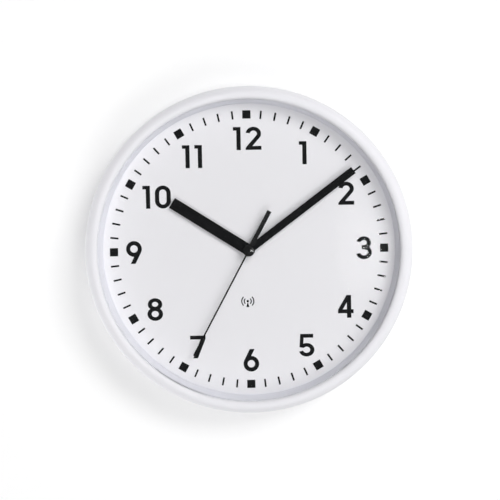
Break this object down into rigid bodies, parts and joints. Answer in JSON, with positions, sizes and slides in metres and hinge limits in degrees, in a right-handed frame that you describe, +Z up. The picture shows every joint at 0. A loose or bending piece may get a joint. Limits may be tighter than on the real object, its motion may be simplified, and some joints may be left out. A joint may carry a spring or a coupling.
{
  "type": "radio-controlled wall clock",
  "caption": "Round white wall clock with bold numerals, black bar hands, a slim rounded bezel and a battery-driven radio-controlled movement behind the dial.",
  "frame": {"origin": "centre of the back rim's plane, where the hands' axis meets the wall", "axes": "+Z is up the dial towards twelve, -Y points from the wall to the viewer, +X is to the viewer's right"},
  "size_m": [0.255, 0.04, 0.255],
  "materials": {
    "white_case": "smooth semi-gloss moulded plastic",
    "clear_lens": "clear polished sheet",
    "dial_white": "matt white printed dial",
    "print_black": "flat black ink",
    "hand_black": "satin black paint",
    "movement_grey": "fine-grained moulded plastic",
    "plate_plastic": "smooth moulded plastic",
    "gear_plastic": "natural acetal",
    "magnet": "sintered magnet",
    "steel": "plain steel",
    "copper_coil": "enamelled copper wire",
    "board_green": "solder-masked board",
    "black_resin": "moulded resin",
    "ferrite": "sintered ferrite",
    "battery_wrap": "plain printed sleeve",
    "button_plastic": "moulded plastic"
  },
  "bodies": {
    "case": {"front_bezel": "white_case", "lens": "clear_lens", "rear_case": "white_case", "dial": "dial_white", "dial_marks": "print_black", "movement_front_shell": "movement_grey", "movement_rear_shell": "movement_grey", "middle_plate": "plate_plastic", "movement_screws": "steel", "seconds_stator": "steel", "seconds_core": "steel", "seconds_coil": "copper_coil", "minute_stator": "steel", "minute_core": "steel", "minute_coil": "copper_coil", "circuit_board": "board_green", "control_chip": "black_resin", "quartz_crystal": "steel", "button_switches": "black_resin", "ferrite_rod": "ferrite", "antenna_coil": "copper_coil", "positive_contact": "steel", "negative_contact": "steel", "hanger_plate": "steel", "hanger_screws": "steel"},
    "second_hand": {"second_hand": "hand_black", "seconds_wheel": "gear_plastic"},
    "minute_hand": {"minute_hand": "hand_black", "minute_wheel": "gear_plastic"},
    "hour_hand": {"hour_hand": "hand_black", "hour_wheel": "gear_plastic"},
    "seconds_third": {"seconds_third_wheel": "gear_plastic"},
    "seconds_rotor": {"seconds_rotor": "magnet"},
    "minute_third": {"minute_third_wheel": "gear_plastic"},
    "minute_first": {"minute_first_wheel": "gear_plastic"},
    "minute_rotor": {"minute_rotor": "magnet"},
    "motion": {"motion_wheel": "gear_plastic"},
    "battery": {"battery": "battery_wrap"},
    "set_button": {"set_button": "button_plastic"},
    "receive_button": {"receive_button": "button_plastic"},
    "reset_button": {"reset_button": "button_plastic"}
  },
  "joints": [
    {"name": "second_hand_turn", "type": "hinge", "parent": "case", "child": "second_hand", "pos_m": [0, -0.02, 0], "axis": [0, 1, 0], "continuous": true},
    {"name": "minute_hand_turn", "type": "hinge", "parent": "case", "child": "minute_hand", "pos_m": [0, -0.02, 0], "axis": [0, 1, 0], "continuous": true},
    {"name": "hour_hand_turn", "type": "hinge", "parent": "case", "child": "hour_hand", "pos_m": [0, -0.02, 0], "axis": [0, 1, 0], "continuous": true},
    {"name": "seconds_third_spin", "type": "hinge", "parent": "case", "child": "seconds_third", "pos_m": [-0.00807, -0.013, 0.00677], "axis": [0, 1, 0], "continuous": true},
    {"name": "seconds_rotor_spin", "type": "hinge", "parent": "case", "child": "seconds_rotor", "pos_m": [-0.0179, -0.01, 0.00677], "axis": [0, 1, 0], "continuous": true},
    {"name": "minute_third_spin", "type": "hinge", "parent": "case", "child": "minute_third", "pos_m": [0.00695, -0.016, 0.00402], "axis": [0, 1, 0], "continuous": true},
    {"name": "minute_first_spin", "type": "hinge", "parent": "case", "child": "minute_first", "pos_m": [0.01498, -0.013, 0.00402], "axis": [0, 1, 0], "continuous": true},
    {"name": "minute_rotor_spin", "type": "hinge", "parent": "case", "child": "minute_rotor", "pos_m": [0.02095, -0.01, -0.00195], "axis": [0, 1, 0], "continuous": true},
    {"name": "motion_spin", "type": "hinge", "parent": "case", "child": "motion", "pos_m": [0, -0.019, -0.00803], "axis": [0, 1, 0], "continuous": true},
    {"name": "battery_slide", "type": "slide", "parent": "case", "child": "battery", "axis": [0, 1, 0], "range_m": [0, 0.024]},
    {"name": "set_press", "type": "slide", "parent": "case", "child": "set_button", "axis": [0, -1, 0], "range_m": [0, 0.0006], "stiffness_N_per_m": 800, "springref_m": -0.0006},
    {"name": "receive_press", "type": "slide", "parent": "case", "child": "receive_button", "axis": [0, -1, 0], "range_m": [0, 0.0006], "stiffness_N_per_m": 800, "springref_m": -0.0006},
    {"name": "reset_press", "type": "slide", "parent": "case", "child": "reset_button", "axis": [0, -1, 0], "range_m": [0, 0.0006], "stiffness_N_per_m": 800, "springref_m": -0.0006}
  ],
  "couplings": [
    {"joint": "hour_hand_turn", "follows": "minute_hand_turn", "ratio": 0.083333},
    {"joint": "minute_third_spin", "follows": "minute_hand_turn", "ratio": -3},
    {"joint": "minute_first_spin", "follows": "minute_hand_turn", "ratio": 12},
    {"joint": "minute_rotor_spin", "follows": "minute_hand_turn", "ratio": -60},
    {"joint": "motion_spin", "follows": "minute_hand_turn", "ratio": -0.33333},
    {"joint": "seconds_third_spin", "follows": "second_hand_turn", "ratio": -5},
    {"joint": "seconds_rotor_spin", "follows": "second_hand_turn", "ratio": 30}
  ]
}
